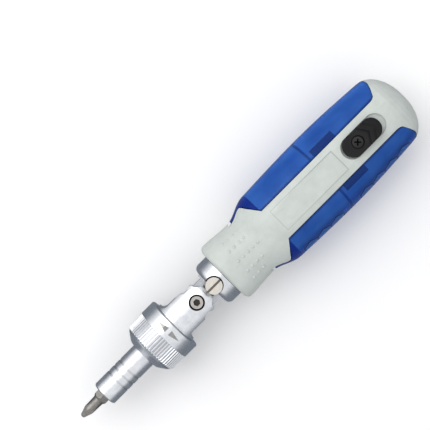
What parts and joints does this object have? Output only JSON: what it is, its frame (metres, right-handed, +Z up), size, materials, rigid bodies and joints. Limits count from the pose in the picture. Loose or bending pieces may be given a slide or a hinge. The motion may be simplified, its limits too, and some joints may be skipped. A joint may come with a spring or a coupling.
{
  "type": "ratcheting screwdriver",
  "caption": "Ratcheting screwdriver with a folding lockable head, selector ring, hexagon bit holder and a handle whose two hinged clear doors store driver bits.",
  "frame": {"origin": "middle of the tool's length and width, on the flat of its bottom spine", "axes": "+X along the tool to the bit's tip, +Y to the tool's left, +Z up to the slide button's side"},
  "size_m": [0.199, 0.0386, 0.0378],
  "materials": {
    "grey_plastic": "satin moulded",
    "clear_blue": "clear tinted, glossy",
    "bit_steel": "dark satin",
    "black_plastic": "fine texture",
    "black_steel": "black oxide",
    "spring_steel": "drawn wire",
    "pin_steel": "ground",
    "bright_nickel": "polished",
    "satin_metal": "satin plated die casting",
    "bronze": "sintered",
    "magnet": "matte"
  },
  "bodies": {
    "handle": {"handle_frame": "grey_plastic", "pivot_base": "satin_metal", "hinge_pin_left": "pin_steel", "hinge_pin_right": "pin_steel", "door_spring_left": "spring_steel", "door_spring_right": "spring_steel", "latch_spring": "spring_steel", "lock_spring": "spring_steel", "lock_plug": "pin_steel"},
    "latch": {"slide_button": "black_plastic", "button_screw": "black_steel", "latch_plate": "black_plastic"},
    "lock": {"lock_plunger": "pin_steel", "lock_button": "bright_nickel"},
    "left_door": {"door_left": "clear_blue", "stored_bits_left": "bit_steel"},
    "right_door": {"door_right": "clear_blue", "stored_bits_right": "bit_steel"},
    "head": {"ratchet_yoke": "satin_metal", "pivot_screw": "pin_steel", "nose_cap": "satin_metal", "rear_bush": "bronze", "pawl_spring": "spring_steel", "stop_pin": "pin_steel"},
    "selector": {"selector_ring": "satin_metal"},
    "pawl_forward": {"forward_pawl": "pin_steel"},
    "pawl_reverse": {"reverse_pawl": "pin_steel"},
    "spindle": {"bit_holder": "satin_metal", "ratchet_gear": "pin_steel", "bit_magnet": "magnet", "driver_bit": "bit_steel"}
  },
  "joints": [
    {"name": "latch_slide", "type": "slide", "parent": "handle", "child": "latch", "axis": [-1, 0, 0], "range_m": [-0.001, 0.0026], "stiffness_N_per_m": 200, "springref_m": -0.001, "deforming": ["latch_spring"]},
    {"name": "door_left_hinge", "type": "hinge", "parent": "handle", "child": "left_door", "pos_m": [-0.009, 0.0116, 0.0174], "axis": [0, 0, -1], "range_deg": [0, 65]},
    {"name": "door_right_hinge", "type": "hinge", "parent": "handle", "child": "right_door", "pos_m": [-0.009, -0.0116, 0.0174], "axis": [0, 0, 1], "range_deg": [0, 65]},
    {"name": "lock_slide", "type": "slide", "parent": "handle", "child": "lock", "axis": [0, 0, 1], "range_m": [-0.0006, 0.0015], "stiffness_N_per_m": 300, "springref_m": 0.0015, "deforming": ["lock_spring"]},
    {"name": "head_pivot", "type": "hinge", "parent": "handle", "child": "head", "pos_m": [0.028, 0, 0.0174], "axis": [0, 0, 1], "range_deg": [-90, 90]},
    {"name": "selector_turn", "type": "hinge", "parent": "head", "child": "selector", "pos_m": [0.0495, 0, 0.0174], "axis": [1, 0, 0], "range_deg": [-20, 20]},
    {"name": "forward_pawl_slide", "type": "slide", "parent": "head", "child": "pawl_forward", "axis": [0, -1, 0], "range_m": [-0.0006, 0.0006]},
    {"name": "reverse_pawl_slide", "type": "slide", "parent": "head", "child": "pawl_reverse", "axis": [0, 1, 0], "range_m": [-0.0006, 0.0006]},
    {"name": "spindle_spin", "type": "hinge", "parent": "head", "child": "spindle", "pos_m": [0.0705, 0, 0.0174], "axis": [1, 0, 0], "continuous": true}
  ],
  "couplings": [
    {"joint": "forward_pawl_slide", "follows": "selector_turn", "m_per_rad": 0.0017188},
    {"joint": "reverse_pawl_slide", "follows": "selector_turn", "m_per_rad": -0.0017188}
  ]
}
